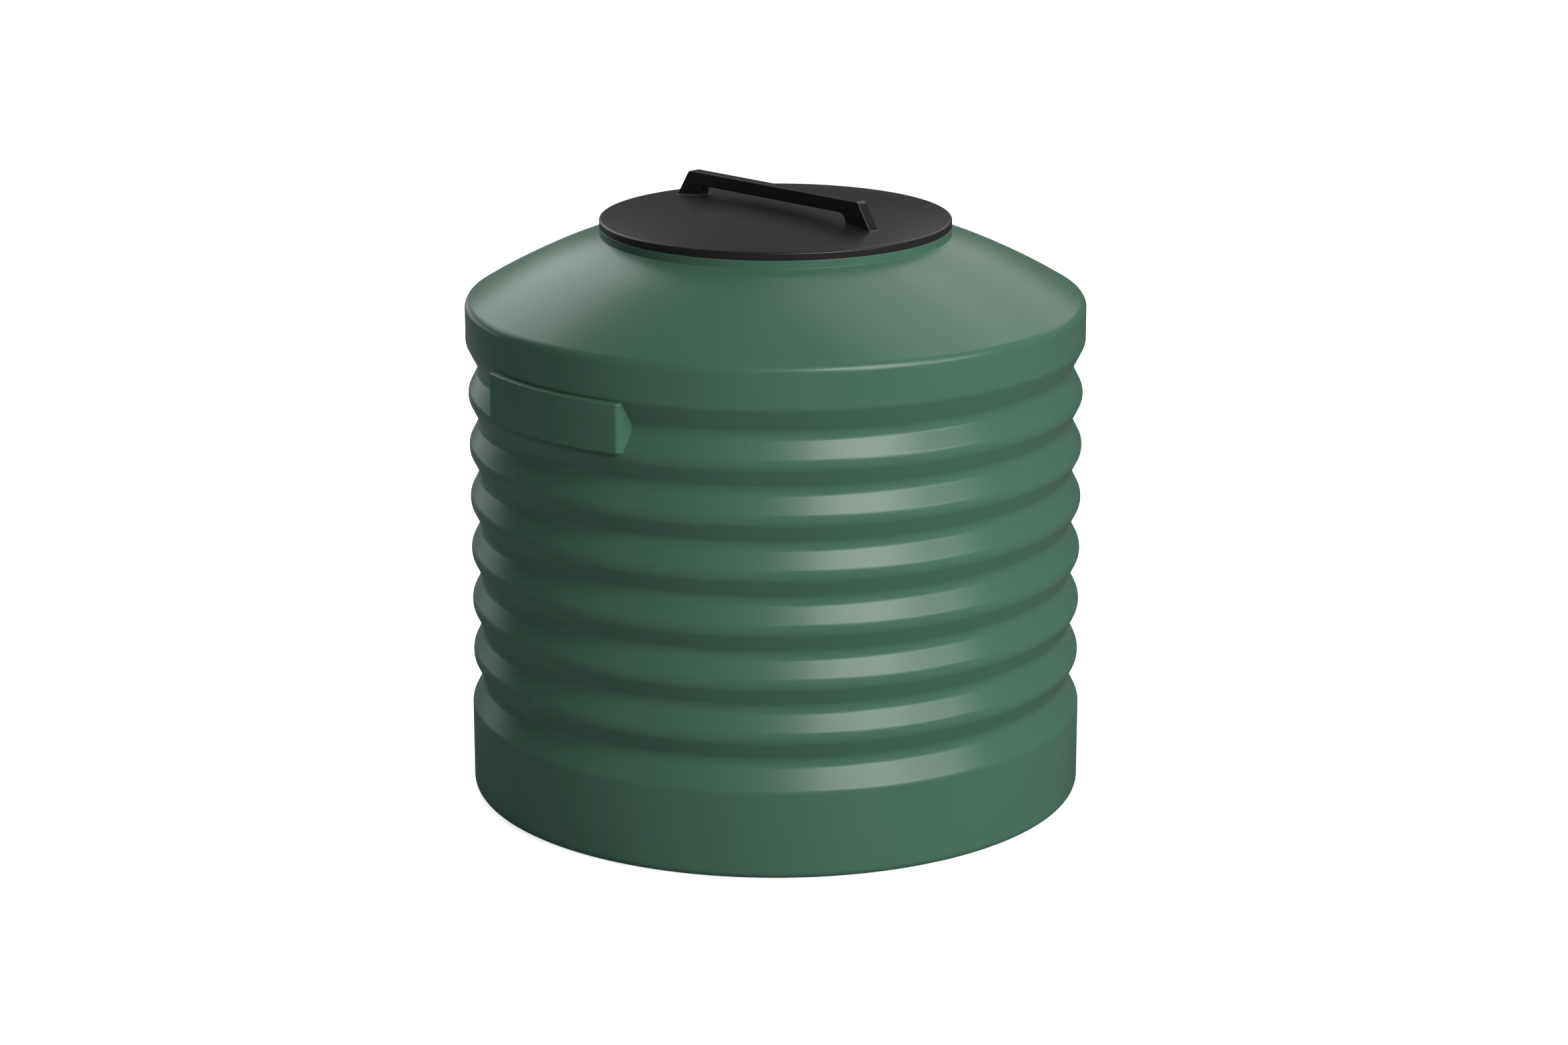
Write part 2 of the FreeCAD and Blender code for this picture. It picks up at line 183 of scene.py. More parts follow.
def sector_nodes(name):
    """The names of the solids that a ring is divided into."""
    return ["%s_%d" % (name, k + 1) for k in range(SECTORS)]


def cleaned(bm):
    """Joins spots that coincide and turns the faces outwards."""
    bmesh.ops.remove_doubles(bm, verts=bm.verts, dist=SAME_WITHIN)
    bmesh.ops.recalc_face_normals(bm, faces=bm.faces)


def chain(bm, corners, closed=False):
    """A run of edges through corners given as radius and height."""
    verts = [bm.verts.new((across * MM, 0, up * MM)) for across, up in corners]
    for first, second in zip(verts, verts[1:]):
        bm.edges.new((first, second))
    if closed:
        bm.edges.new((verts[-1], verts[0]))
    return verts


def turn_all(bm):
    """Turns every edge drawn so far about the tank's axis into a closed skin."""
    bmesh.ops.spin(bm, geom=bm.verts[:] + bm.edges[:], cent=(0, 0, 0), axis=Z_AXIS,
                   angle=math.tau, steps=TURN_STEPS, use_merge=True)
    cleaned(bm)


def ring_at(bm, across, up):
    """The edges of the circle at one radius and height."""
    def on_ring(vert):
        radius = math.hypot(vert.co.x, vert.co.y)
        at_radius = abs(radius - across * MM) < RING_WITHIN
        return at_radius and abs(vert.co.z - up * MM) < RING_WITHIN
    return [edge for edge in bm.edges if on_ring(edge.verts[0]) and on_ring(edge.verts[1])]


def round_edges(bm, edges, offset, segments):
    """Rounds edges, starting at one distance from them on both sides."""
    bmesh.ops.bevel(bm, geom=edges, offset=offset * MM, offset_type="OFFSET",
                    segments=segments, profile=0.5, affect="EDGES", material=-1,
                    clamp_overlap=True)


def round_rings(bm, corners, radius, half_turn, segments):
    """Rounds circles with one radius, where the skin turns by twice the angle given."""
    edges = []
    for across, up in corners:
        edges += ring_at(bm, across, up)
    round_edges(bm, edges, radius * math.tan(half_turn), segments)


def add_cove(bm, stations):
    """Lays a hollow fillet in the corner between two skins along a run of stations.

    A station is a spot in the corner, the outward normal of the piece that stands up,
    the outward normal of the skin it stands on, and how far the fillet reaches up both.
    The fillet's back is sunk in both.
    """
    rings = []
    for spot, side, base, reach in stations:
        up = (base - side * base.dot(side)).normalized()
        out = (side - base * side.dot(base)).normalized()
        high = spot + up * reach * MM
        low = spot + out * reach * MM
        ring = []
        for k in range(COVE_STEPS + 1):
            t = k / COVE_STEPS
            ring.append(high * (1 - t) ** 2 + spot * (2 * t * (1 - t)) + low * t ** 2)
        sink = (side + base) * (COVE_SUNK * MM)
        ring += [low - sink, spot - sink, high - sink]
        rings.append([bm.verts.new(point) for point in ring])
    for first, second in zip(rings, rings[1:] + rings[:1]):
        count = len(first)
        for k in range(count):
            n = (k + 1) % count
            bm.faces.new((first[k], first[n], second[n], second[k]))
    bmesh.ops.recalc_face_normals(bm, faces=bm.faces)


# The finishes: two satin plastics that share a moulded grain.
SPECULAR = 0.30
GRAIN_RELIEF = 0.0004


def set_inputs(node, values):
    """Sets a node's inputs by their names."""
    for name, value in values.items():
        node.inputs[name].default_value = value


def socket(group, name, direction, value=None):
    """Gives a node group a number as an input or output."""
    made = group.interface.new_socket(name=name, in_out=direction,
                                      socket_type="NodeSocketFloat")
    if value is not None:
        made.default_value = value


def moulded_grain():
    """A fine pebbled skin with faint broad clouding, as rotational moulding leaves."""
    group = bpy.data.node_groups.new("moulded_grain", "ShaderNodeTree")
    socket(group, "Grain Scale", "INPUT", 900.0)
    socket(group, "Cloud Scale", "INPUT", 7.0)
    socket(group, "Shade", "OUTPUT")
    socket(group, "Grain", "OUTPUT")
    nodes, links = group.nodes, group.links
    entry = nodes.new("NodeGroupInput")
    leave = nodes.new("NodeGroupOutput")
    place = nodes.new("ShaderNodeTexCoord")
    grain = nodes.new("ShaderNodeTexNoise")
    set_inputs(grain, {"Detail": 2.0, "Roughness": 0.55})
    cloud = nodes.new("ShaderNodeTexNoise")
    set_inputs(cloud, {"Detail": 3.0, "Roughness": 0.5})
    both = nodes.new("ShaderNodeMix")
    set_inputs(both, {"Factor": 0.45})
    for noise, scale in ((grain, "Grain Scale"), (cloud, "Cloud Scale")):
        links.new(place.outputs["Object"], noise.inputs["Vector"])
        links.new(entry.outputs[scale], noise.inputs["Scale"])
    links.new(cloud.outputs["Fac"], both.inputs["A"])
    links.new(grain.outputs["Fac"], both.inputs["B"])
    links.new(both.outputs["Result"], leave.inputs["Shade"])
    links.new(grain.outputs["Fac"], leave.inputs["Grain"])
    return group


def plastic(name, group, dark, light, rough_low, rough_high, grain_scale, bump):
    """A satin plastic whose colour, gloss and skin follow the moulded grain."""
    material = bpy.data.materials.new(name)
    material.use_nodes = True
    nodes, links = material.node_tree.nodes, material.node_tree.links
    shader = nodes["Principled BSDF"]
    set_inputs(shader, {"Specular IOR Level": SPECULAR})
    skin = nodes.new("ShaderNodeGroup")
    skin.node_tree = group
    set_inputs(skin, {"Grain Scale": grain_scale})
    tint = nodes.new("ShaderNodeMix")
    tint.data_type = "RGBA"
    set_inputs(tint, {"A": (*dark, 1), "B": (*light, 1)})
    gloss = nodes.new("ShaderNodeMapRange")
    set_inputs(gloss, {"To Min": rough_low, "To Max": rough_high})
    relief = nodes.new("ShaderNodeBump")
    set_inputs(relief, {"Strength": bump, "Distance": GRAIN_RELIEF})
    links.new(skin.outputs["Shade"], tint.inputs["Factor"])
    links.new(tint.outputs["Result"], shader.inputs["Base Color"])
    links.new(skin.outputs["Shade"], gloss.inputs["Value"])
    links.new(gloss.outputs["Result"], shader.inputs["Roughness"])
    links.new(skin.outputs["Grain"], relief.inputs["Height"])
    links.new(relief.outputs["Normal"], shader.inputs["Normal"])
    return material


grain_group = moulded_grain()
green = plastic("tank_green", grain_group,
                dark=(0.060, 0.147, 0.103), light=(0.070, 0.168, 0.119),
                rough_low=0.25, rough_high=0.33, grain_scale=900.0, bump=0.08)
black = plastic("lid_black", grain_group,
                dark=(0.0165, 0.0156, 0.0161), light=(0.0222, 0.0211, 0.0218),
                rough_low=0.26, rough_high=0.33, grain_scale=650.0, bump=0.10)


# The moulding: one skin from the middle of the floor up the outside and back down the inside.
grooves = [RIB_FOOT + (k + 0.5) * RIB_PITCH for k in range(RIBS + 1)]
ridges = [RIB_FOOT + (k + 1) * RIB_PITCH for k in range(RIBS)]


def ribbed(first, groove_radius, ridge_radius, last):
    """The zigzag of grooves and ridges between two bands."""
    run = [first]
    for k in range(RIBS):
        run += [(groove_radius, grooves[k]), (ridge_radius, ridges[k])]
    return run + [(groove_radius, grooves[RIBS]), last]


# The inside follows the outside at the wall's thickness, so its corners lie on the bisectors.
flank_wall = WALL / math.cos(FLANK)
flank_step = WALL * math.tan(FLANK / 2)
shoulder_turn = (math.pi / 2 - SHOULDER_SLOPE) / 2
bend_turn = (SHOULDER_SLOPE - CROWN_SLOPE) / 2
neck_turn = (math.pi / 2 - CROWN_SLOPE) / 2
mean_slope = (SHOULDER_SLOPE + CROWN_SLOPE) / 2
out_groove = BAND - RIB_DEPTH
in_groove = out_groove - flank_wall
in_ridge = BAND - flank_wall
in_band = BAND - WALL
in_neck = NECK - WALL
in_bend_at = BEND_AT - WALL / math.cos(bend_turn) * math.sin(mean_slope)
in_bend_height = BEND_HEIGHT - WALL / math.cos(bend_turn) * math.cos(mean_slope)
in_neck_foot = in_bend_height + (in_bend_at - in_neck) * math.tan(CROWN_SLOPE)
out_bands = [(BAND, RIB_FOOT), (BAND, RIB_HEAD)]
in_bands = [(in_band, RIB_FOOT - flank_step), (in_band, RIB_HEAD + flank_step)]
in_shoulder = (in_band, SHOULDER - WALL * math.tan(shoulder_turn))

outside = [(0, 0), (BAND, 0)] + ribbed(out_bands[0], out_groove, BAND, out_bands[1])
outside += [(BAND, SHOULDER), (BEND_AT, BEND_HEIGHT), (NECK, NECK_FOOT), (NECK, SEAT)]
inside = [(0, WALL), (in_band, WALL)] + ribbed(in_bands[0], in_groove, in_ridge, in_bands[1])
inside += [in_shoulder, (in_bend_at, in_bend_height), (in_neck, in_neck_foot), (in_neck, SEAT)]

# Circles, their radius of rounding, half the skin's turn there, and segments.
shell_rounds = [
    ([(out_groove, up) for up in grooves], GROOVE_ROUND, FLANK, 8),
    ([(BAND, up) for up in ridges], RIDGE_ROUND, FLANK, 8),
    (out_bands, BAND_ROUND, FLANK / 2, 6),
    ([(BAND, SHOULDER)], SHOULDER_ROUND, shoulder_turn, 10),
    ([(BEND_AT, BEND_HEIGHT)], BEND_ROUND, bend_turn, 12),
    ([(NECK, NECK_FOOT)], NECK_FOOT_ROUND, neck_turn, 5),
    ([(BAND, 0)], BASE_EDGE_ROUND, HALF_SQUARE, 7),
    ([(NECK, SEAT)], SEAT_EASE, HALF_SQUARE, 3),
    ([(in_neck, SEAT)], BORE_EASE, HALF_SQUARE, 3),
    ([(in_groove, up) for up in grooves], GROOVE_ROUND + WALL, FLANK, 4),
    ([(in_ridge, up) for up in ridges], RIDGE_ROUND - WALL, FLANK, 4),
    (in_bands, BAND_ROUND - WALL, FLANK / 2, 3),
    ([in_shoulder], SHOULDER_ROUND - WALL, shoulder_turn, 4),
    ([(in_bend_at, in_bend_height)], BEND_ROUND - WALL, bend_turn, 6),
    ([(in_band, WALL)], BASE_EDGE_ROUND - WALL, HALF_SQUARE, 4),
]

shell = bmesh.new()
chain(shell, outside + inside[::-1])
turn_all(shell)
for circles, radius, half_turn, segments in shell_rounds:
    round_rings(shell, circles, radius, half_turn, segments)
shell_nodes = ["tank_floor"]
for part in ("lower_wall", "upper_wall", "roof", "access_neck"):
    shell_nodes += sector_nodes(part)
finished("tank_moulding", shell, "tank", green, shell_nodes)


# The label pad: a turned block whose back lies inside the wall, with its ends cut and eased.
def pad_end(side):
    """A corner of the pad's front at its left (-1) or right (1) end, and the way that end faces."""
    away = Vector((side * math.cos(PAD_DRAFT), -math.sin(PAD_DRAFT), 0))
    return Vector((side * PAD_WIDTH / 2, -PAD_FACE_DEPTH, 0)), away


pad = bmesh.new()
pad_run = [(PAD_FACE, PAD_LOW), (PAD_FACE, PAD_HIGH), (BAND - PAD_SUNK_HIGH, PAD_HIGH),
           (out_groove - PAD_SUNK_GROOVE, PAD_MIDDLE), (BAND - PAD_SUNK_LOW, PAD_LOW)]
pad_section = pad.faces.new(chain(pad, pad_run, closed=True))
to_first_end = Matrix.Rotation(-math.pi / 2 - PAD_REACH, 3, "Z")
bmesh.ops.rotate(pad, verts=pad.verts, cent=(0, 0, 0), matrix=to_first_end)
bmesh.ops.spin(pad, geom=[pad_section], cent=(0, 0, 0), axis=Z_AXIS,
               angle=2 * PAD_REACH, steps=PAD_TURN_STEPS)
cleaned(pad)
for side in (-1, 1):
    corner, away = pad_end(side)
    cut = bmesh.ops.bisect_plane(pad, geom=pad.verts[:] + pad.edges[:] + pad.faces[:],
                                 plane_co=corner * MM, plane_no=away, clear_outer=True)
    rim = [item for item in cut["geom_cut"] if isinstance(item, bmesh.types.BMEdge)]
    bmesh.ops.contextual_create(pad, geom=rim)
cleaned(pad)
bmesh.ops.dissolve_limit(pad, angle_limit=FLAT_TURN, verts=pad.verts[:], edges=pad.edges[:])


def on_pad_face(vert):
    """Whether a spot lies on the pad's round front."""
    return abs(math.hypot(vert.co.x, vert.co.y) - PAD_FACE * MM) < SPOT_WITHIN


def is_pad_border(edge):
    """Whether a sharp edge borders the pad's front or runs back from one of its corners."""
    first, second = edge.verts
    in_front = on_pad_face(first) and on_pad_face(second)
    level = abs(first.co.z - second.co.z) < SAME_WITHIN
    at_end = any(abs(face.normal.x) > SIDEWAYS for face in edge.link_faces)
    return edge.calc_face_angle(0) > PAD_SHARP_TURN and (in_front or level and at_end)


pad_borders = [edge for edge in pad.edges if is_pad_border(edge)]
round_edges(pad, pad_borders, PAD_EDGE_ROUND, segments=5)
cleaned(pad)


# A small cove runs round the pad where it meets the ribs.
def rib_radius(up):
    """The radius of the ribbed skin at a height between the top ridge and the shoulder band."""
    ridge = ridges[RIBS - 1]
    band_end = RIB_HEAD + BAND_ROUND * math.tan(FLANK / 2)
    from_groove = abs(up - PAD_MIDDLE)
    if up >= band_end:
        return BAND
    if up > band_end - BAND_ROUND * math.sin(FLANK):
        return BAND - BAND_ROUND + math.sqrt(BAND_ROUND ** 2 - (band_end - up) ** 2)
    if up < ridge + RIDGE_ROUND * math.sin(FLANK):
        centre = BAND - RIDGE_ROUND / math.cos(FLANK)
        return centre + math.sqrt(RIDGE_ROUND ** 2 - (up - ridge) ** 2)
    if from_groove < GROOVE_ROUND * math.sin(FLANK):
        centre = out_groove + GROOVE_ROUND / math.cos(FLANK)
        return centre - math.sqrt(GROOVE_ROUND ** 2 - from_groove ** 2)
    return out_groove + from_groove * math.tan(FLANK)


def rib_normal(spot, up, nudge=0.1):
    """The way the ribbed skin faces at a spot."""
    slope = (rib_radius(up + nudge) - rib_radius(up - nudge)) / (2 * nudge)
    flat = Vector((spot.x, spot.y, 0)).normalized()
    return Vector((flat.x, flat.y, -slope)).normalized()


def without(normal, way):
    """A normal with its share along one way taken out."""
    return (normal - way * normal.dot(way)).normalized()


def end_spot(side, up, inset=0.0):
    """Where one end of the pad, or a cut just inside it, meets the ribbed skin at a height."""
    corner, away = pad_end(side)
    reach = away.dot(corner) - inset
    along = Vector((side * away.y, -side * away.x, 0))
    spot = away * reach + along * math.sqrt(rib_radius(up) ** 2 - reach ** 2)
    spot.z = up
    return spot * MM, away


def edge_stations(up, normal, ends):
    """The pad's upper or lower edge, between its two rounded corners."""
    first, last = [end_spot(side, up, PAD_EDGE_ROUND)[0] for side in ends]
    start, stop = math.atan2(first.y, first.x), math.atan2(last.y, last.x)
    run = []
    for k in range(1, EDGE_STATIONS):
        turn = start + (stop - start) * k / EDGE_STATIONS
        spot = Vector((math.cos(turn), math.sin(turn), 0)) * rib_radius(up) * MM
        spot.z = up * MM
        run.append((spot, normal, rib_normal(spot, up), PAD_TOP_COVE))
    return run


def corner_stations(side, up, normal):
    """One rounded corner of the pad, from its upper or lower edge to its end."""
    run = []
    for k in range(CORNER_STATIONS + 1):
        share = k / CORNER_STATIONS
        turn = share * math.pi / 2
        height = up - normal.z * PAD_EDGE_ROUND * (1 - math.cos(turn))
        spot, away = end_spot(side, height, PAD_EDGE_ROUND * (1 - math.sin(turn)))
        out = (normal * math.cos(turn) + away * math.sin(turn)).normalized()
        across = (normal * math.sin(turn) - away * math.cos(turn)).normalized()
        reach = PAD_TOP_COVE + (PAD_END_COVE - PAD_TOP_COVE) * share
        run.append((spot, out, without(rib_normal(spot, height), across), reach))
    return run


def end_stations(side):
    """One end of the pad from its lower to its upper corner."""
    low, high = PAD_LOW + PAD_EDGE_ROUND, PAD_HIGH - PAD_EDGE_ROUND
    run = []
    for k in range(1, END_STATIONS):
        height = low + (high - low) * k / END_STATIONS
        spot, away = end_spot(side, height)
        run.append((spot, away, rib_normal(spot, height), PAD_END_COVE))
    return run


def pad_stations():
    """The corner between the pad and the skin, once round from its top left."""
    run = edge_stations(PAD_HIGH, Z_AXIS, (-1, 1)) + corner_stations(1, PAD_HIGH, Z_AXIS)
    run += end_stations(1)[::-1] + corner_stations(1, PAD_LOW, -Z_AXIS)[::-1]
    run += edge_stations(PAD_LOW, -Z_AXIS, (1, -1)) + corner_stations(-1, PAD_LOW, -Z_AXIS)
    return run + end_stations(-1) + corner_stations(-1, PAD_HIGH, Z_AXIS)[::-1]


add_cove(pad, pad_stations())
finished("label_pad_face", pad, "tank", green, ["label_pad"])


# The lid: a domed plate with a flat rim, and the ring below it that keeps it in the neck.
def dome_height(across):
    """The height of the dome's top at a radius."""
    return DOME_CENTRE + math.sqrt(DOME ** 2 - across ** 2)


def arc_out(bm, across, drop, steps):
    """An arc at a depth in the dome from the axis out to a radius, and its outer end."""
    start = bm.verts.new((0, 0, (LID_TOP - drop) * MM))
    turned = bmesh.ops.spin(bm, geom=[start], cent=(0, 0, DOME_CENTRE * MM), axis=(0, 1, 0),
                            angle=math.asin(across / (DOME - drop)), steps=steps)
    return [item for item in turned["geom_last"] if isinstance(item, bmesh.types.BMVert)][0]


lid = bmesh.new()
top_end = arc_out(lid, NECK, 0.0, steps=14)
under_end = arc_out(lid, RIM, LID_PLATE, steps=10)
seat_out, seat_in = chain(lid, [(NECK, SEAT), (RIM, SEAT)])
lid.edges.new((top_end, seat_out))
lid.edges.new((seat_in, under_end))
turn_all(lid)
round_rings(lid, [(NECK, LID_EDGE_TOP)], LID_EDGE_ROUND, LID_EDGE_TURN, segments=5)
round_rings(lid, [(NECK, SEAT)], SEAT_EASE, HALF_SQUARE, segments=3)
finished("lid_plate_domed", lid, "lid", black, ["lid_plate"])

ring = bmesh.new()
ring_run = [(SPIGOT_BORE, SPIGOT_LOW), (SPIGOT, SPIGOT_LOW), (SPIGOT, SEAT), (SPIGOT_BORE, SEAT)]
chain(ring, ring_run, closed=True)
turn_all(ring)
for across in (SPIGOT, SPIGOT_BORE):
    round_rings(ring, [(across, SPIGOT_LOW)], SPIGOT_EASE, HALF_SQUARE, segments=3)
finished("lid_ring", ring, "lid", black, sector_nodes("lid_locating_ring"))


# The handle: a flat bar on two leaning legs that stand in the dome.
foot_height = dome_height(HANDLE_FOOT)
lean = (HANDLE_FOOT - HANDLE_TOP) / (BAR_TOP - foot_height)
sunk_out = (HANDLE_FOOT + lean * FOOT_SUNK, foot_height - FOOT_SUNK)
sunk_in = (HANDLE_INNER, dome_height(HANDLE_INNER) - FOOT_SUNK)
half_run = [(HANDLE_INNER, BAR_UNDER), sunk_in, sunk_out, (HANDLE_TOP, BAR_TOP)]
grip_run = [(-across, up) for across, up in (sunk_out, sunk_in, (HANDLE_INNER, BAR_UNDER))]
grip_run += half_run + [(-HANDLE_TOP, BAR_TOP)]
grip = bmesh.new()
grip_side = grip.faces.new(chain(grip, grip_run, closed=True))
bmesh.ops.translate(grip, verts=grip.verts, vec=(0, -HANDLE_WIDTH / 2 * MM, 0))
pulled = bmesh.ops.extrude_face_region(grip, geom=[grip_side])
moved = [item for item in pulled["geom"] if isinstance(item, bmesh.types.BMVert)]
bmesh.ops.translate(grip, verts=moved, vec=(0, HANDLE_WIDTH * MM, 0))
bmesh.ops.recalc_face_normals(grip, faces=grip.faces)


def cross_edges(bm, half, height):
    """The edges across the handle at one distance from its middle and one height."""
    found = []
    for edge in bm.edges:
        first, second = edge.verts[0].co, edge.verts[1].co
        across = abs(first.y - second.y) > CROSSING
        at_half = abs(abs(first.x) - half * MM) < SPOT_WITHIN
        if across and at_half and abs(first.z - height * MM) < SPOT_WITHIN:
            found.append(edge)
    return found


def is_long_edge(edge):
    """Whether a sharp edge runs along one side of the handle."""
    along = abs(edge.verts[0].co.y - edge.verts[1].co.y) < SAME_WITHIN
    return along and edge.calc_face_angle(0) > HANDLE_SHARP_TURN


top_corner_offset = HANDLE_TOP_ROUND * math.tan(HANDLE_TOP_TURN)
round_edges(grip, cross_edges(grip, HANDLE_TOP, BAR_TOP), top_corner_offset, segments=8)
round_edges(grip, cross_edges(grip, HANDLE_INNER, BAR_UNDER), HANDLE_INNER_ROUND, segments=8)
long_edges = [edge for edge in grip.edges if is_long_edge(edge)]
round_edges(grip, long_edges, HANDLE_EDGE_ROUND, segments=4)


# The feet flare out into the dome with a small fillet.
def dome_station(spot, out, rising=None):
    """A station of the fillet round a foot, where a spot in plan meets the dome.

    On a rounded edge of the leg, rising is the way that edge runs up.
    """
    on_dome = Vector((spot.x, spot.y, dome_height(math.hypot(spot.x, spot.y))))
    base = (on_dome - Vector((0, 0, DOME_CENTRE))).normalized()
    if rising:
        base = without(base, out.cross(rising).normalized())
    return on_dome * MM, out, base, FOOT_COVE


def in_plan(normal):
    """How far the rounding of a leg's edge reaches from it in plan, towards one of its faces."""
    flat = Vector((normal.x, normal.y, 0))
    return flat * (HANDLE_EDGE_ROUND / flat.length_squared)


def foot_stations(side):
    """The corner between one foot and the dome, once round with its four rounded edges."""
    half = HANDLE_WIDTH / 2
    leaning = Vector((side, 0, lean)).normalized()
    leg_edge = Vector((-side * lean, 0, 1)).normalized()
    # Each corner in plan, the way the face after it looks, and the way its edge runs up.
    corners = [(HANDLE_INNER, -half, Vector((0, -1, 0)), Z_AXIS),
               (HANDLE_FOOT, -half, leaning, leg_edge),
               (HANDLE_FOOT, half, Vector((0, 1, 0)), leg_edge),
               (HANDLE_INNER, half, Vector((-side, 0, 0)), Z_AXIS)]
    run = []
    for k, (across, along, normal, rising) in enumerate(corners):
        before = corners[k - 1][2]
        next_across, next_along, after, _ = corners[(k + 1) % len(corners)]
        corner = Vector((side * across, along, 0))
        centre = corner - in_plan(before) - in_plan(normal)
        for step in range(CORNER_STATIONS + 1):
            turn = math.pi / 2 * step / CORNER_STATIONS
            spot = centre + in_plan(before) * math.cos(turn) + in_plan(normal) * math.sin(turn)
            out = (before * math.cos(turn) + normal * math.sin(turn)).normalized()
            run.append(dome_station(spot, out, rising))
        start = corner - in_plan(before)
        stop = Vector((side * next_across, next_along, 0)) - in_plan(after)
        for step in range(1, FOOT_STATIONS):
            run.append(dome_station(start.lerp(stop, step / FOOT_STATIONS), normal))
    return run


for side in (-1, 1):
    add_cove(grip, foot_stations(side))
finished("lid_handle_bar", grip, "lid", black, ["lid_handle"])


# The stage: a white ground that keeps a soft shadow, and plain studio light. The stage's
# own sizes are in metres.
CAMERA_TURN = math.radians(45.0)
CAMERA_AWAY = 5.5376
CAMERA_HEIGHT = 1.9769
CAMERA_PITCH = math.radians(15.921)
LENS = 87.687
SENSOR = 36.0
IMAGE_WIDTH = 2352
AXIS_OFFSET = 12.65

camera_data = bpy.data.cameras.new("camera")
camera_data.sensor_fit = "HORIZONTAL"
camera_data.sensor_width = SENSOR
camera_data.lens = LENS
camera_data.shift_x = AXIS_OFFSET / IMAGE_WIDTH
camera = bpy.data.objects.new("camera", camera_data)
camera.location = (CAMERA_AWAY * math.sin(CAMERA_TURN), -CAMERA_AWAY * math.cos(CAMERA_TURN),
                   CAMERA_HEIGHT)
camera.rotation_euler = (math.pi / 2 - CAMERA_PITCH, 0, CAMERA_TURN)
bpy.context.scene.collection.objects.link(camera)
bpy.context.scene.camera = camera

WHITE = (1, 1, 1, 1)
FLOOR_GREY = (0.54, 0.54, 0.54, 1)
MIRRORED_GREY = (0.08, 0.08, 0.08, 1)
FLOOR_ROUGHNESS = 0.9
FLOOR_RADIUS = 30.0
FLOOR_GLOW = 0.78
GLOSSY_SHARE = 0.1
HORIZON = (0.02, 0.10)
NEAR_GROUND = (0.8, 3.5)
FAR_GROUND = (4.0, 9.0)


def calculation(nodes, links, operation, first, second):
    """What one operation makes of two outputs."""
    node = nodes.new("ShaderNodeMath")
    node.operation = operation
    links.new(first, node.inputs[0])
    links.new(second, node.inputs[1])
    return node.outputs[0]


def fade(nodes, links, value, bounds, at_low, at_high):
    """A value that runs evenly from one number to another between two bounds."""
    node = nodes.new("ShaderNodeMapRange")
    set_inputs(node, {"From Min": bounds[0], "From Max": bounds[1],
                      "To Min": at_low, "To Max": at_high})
    links.new(value, node.inputs["Value"])
    return node.outputs["Result"]


def seen_rays(nodes, links, glossy_share):
    """One where the camera looks or light passes through, and a share where a gloss mirrors."""
    path = nodes.new("ShaderNodeLightPath").outputs
    glossy = calculation(nodes, links, "MULTIPLY", path["Is Glossy Ray"], glossy_share)
    clear = calculation(nodes, links, "MAXIMUM", path["Is Camera Ray"],
                        path["Is Transmission Ray"])
    return calculation(nodes, links, "MAXIMUM", clear, glossy)


def white_backdrop():
    """White all round for the camera, of which a gloss mirrors a share, low at the horizon."""
    world = bpy.data.worlds.new("studio")
    world.use_nodes = True
    nodes, links = world.node_tree.nodes, world.node_tree.links
    backdrop = nodes["Background"]
    set_inputs(backdrop, {"Color": WHITE})
    way = nodes.new("ShaderNodeTexCoord")
    height = nodes.new("ShaderNodeSeparateXYZ")
    links.new(way.outputs["Object"], height.inputs[0])
    low_share = fade(nodes, links, height.outputs["Z"], HORIZON, GLOSSY_SHARE, 0.0)
    links.new(seen_rays(nodes, links, low_share), backdrop.inputs["Strength"])
    return world


def pale_floor():
    """A matt grey sheet, darker to a gloss, that is topped up to white for the camera.

    It is topped up more where less of the lamps' light falls, far from the tank.
    """
    material = bpy.data.materials.new("pale_floor")
    material.use_nodes = True
    nodes, links = material.node_tree.nodes, material.node_tree.links
    sheet = nodes["Principled BSDF"]
    set_inputs(sheet, {"Roughness": FLOOR_ROUGHNESS, "Specular IOR Level": 0.0})
    path = nodes.new("ShaderNodeLightPath")
    tone = nodes.new("ShaderNodeMix")
    tone.data_type = "RGBA"
    set_inputs(tone, {"A": FLOOR_GREY, "B": MIRRORED_GREY})
    links.new(path.outputs["Is Glossy Ray"], tone.inputs["Factor"])
    links.new(tone.outputs["Result"], sheet.inputs["Base Color"])
    place = nodes.new("ShaderNodeTexCoord")
    distance = nodes.new("ShaderNodeVectorMath")
    distance.operation = "LENGTH"
    links.new(place.outputs["Object"], distance.inputs[0])
    away = distance.outputs["Value"]
    far_share = fade(nodes, links, away, FAR_GROUND, 0.0, GLOSSY_SHARE)
    top_up = fade(nodes, links, away, NEAR_GROUND, FLOOR_GLOW, 1.0)
    strength = calculation(nodes, links, "MULTIPLY", seen_rays(nodes, links, far_share), top_up)
    glow = nodes.new("ShaderNodeEmission")
    set_inputs(glow, {"Color": WHITE})
    links.new(strength, glow.inputs["Strength"])
    both = nodes.new("ShaderNodeAddShader")
    links.new(sheet.outputs[0], both.inputs[0])
    links.new(glow.outputs[0], both.inputs[1])
    links.new(both.outputs[0], nodes["Material Output"].inputs["Surface"])
    return material


bpy.context.scene.world = white_backdrop()

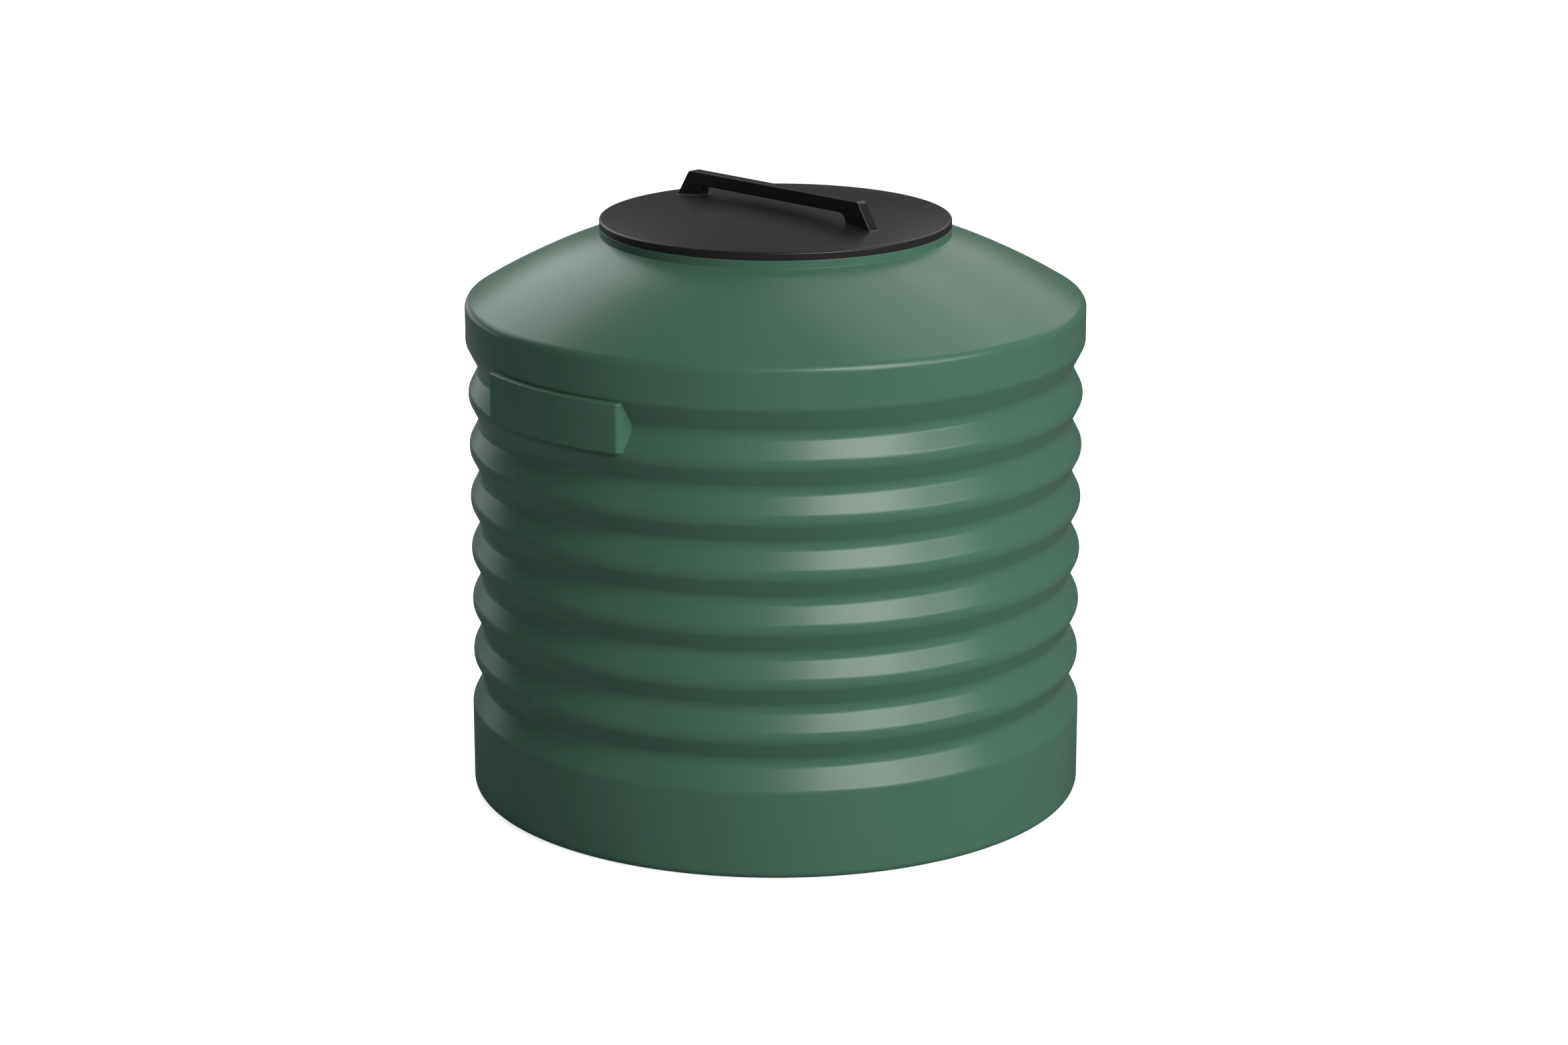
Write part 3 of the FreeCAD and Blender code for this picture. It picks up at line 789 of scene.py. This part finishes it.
floor_shape = bmesh.new()
bmesh.ops.create_circle(floor_shape, cap_ends=True, segments=96, radius=FLOOR_RADIUS)
floor_mesh = bpy.data.meshes.new("studio_floor")
floor_shape.to_mesh(floor_mesh)
floor_shape.free()
floor_mesh.materials.append(pale_floor())
studio_floor = bpy.data.objects.new("studio_floor", floor_mesh)
bpy.context.scene.collection.objects.link(studio_floor)

AIM = Vector((0, 0, 0.5))


def lamp(name, turn, rise, away, width, height, power, mirrored=True):
    """A soft box at an angle right of the camera and above the floor, aimed at the tank."""
    data = bpy.data.lights.new(name, "AREA")
    data.shape = "RECTANGLE"
    data.size = width
    data.size_y = height
    data.energy = power
    item = bpy.data.objects.new(name, data)
    angle = CAMERA_TURN + math.radians(turn)
    up = math.radians(rise)
    way = Vector((math.sin(angle) * math.cos(up), -math.cos(angle) * math.cos(up), math.sin(up)))
    item.location = AIM + way * away
    item.rotation_euler = way.to_track_quat("Z", "Y").to_euler()
    item.visible_camera = False
    item.visible_glossy = mirrored
    bpy.context.scene.collection.objects.link(item)


# Three wide boxes far to the right of the camera light the tank. Weaker ones behind it draw
# the sheen on the roof, the lid and the ribs' left edges, and a wash that no gloss mirrors
# lights the roof's left. Angles are in degrees and power in watts.
lamp("key_high", turn=35, rise=36, away=12.0, width=7.0, height=3.2, power=700)
lamp("key_edge", turn=24, rise=36, away=12.0, width=9.0, height=3.2, power=230)
lamp("key_low", turn=53, rise=22, away=12.0, width=10.0, height=2.8, power=590)
lamp("right_back", turn=143, rise=33, away=3.5, width=2.8, height=1.9, power=16)
lamp("right_back_high", turn=135, rise=58, away=3.5, width=2.6, height=1.9, power=20)
lamp("behind", turn=180, rise=31, away=3.5, width=2.4, height=1.9, power=1.9)
lamp("left_back", turn=-138, rise=33, away=3.5, width=3.0, height=1.9, power=32)
lamp("left_low", turn=-140, rise=2, away=7.0, width=5.0, height=1.4, power=17)
lamp("left_wash", turn=-158, rise=24, away=3.5, width=2.6, height=2.0, power=110, mirrored=False)

bpy.context.scene.view_settings.view_transform = "Standard"
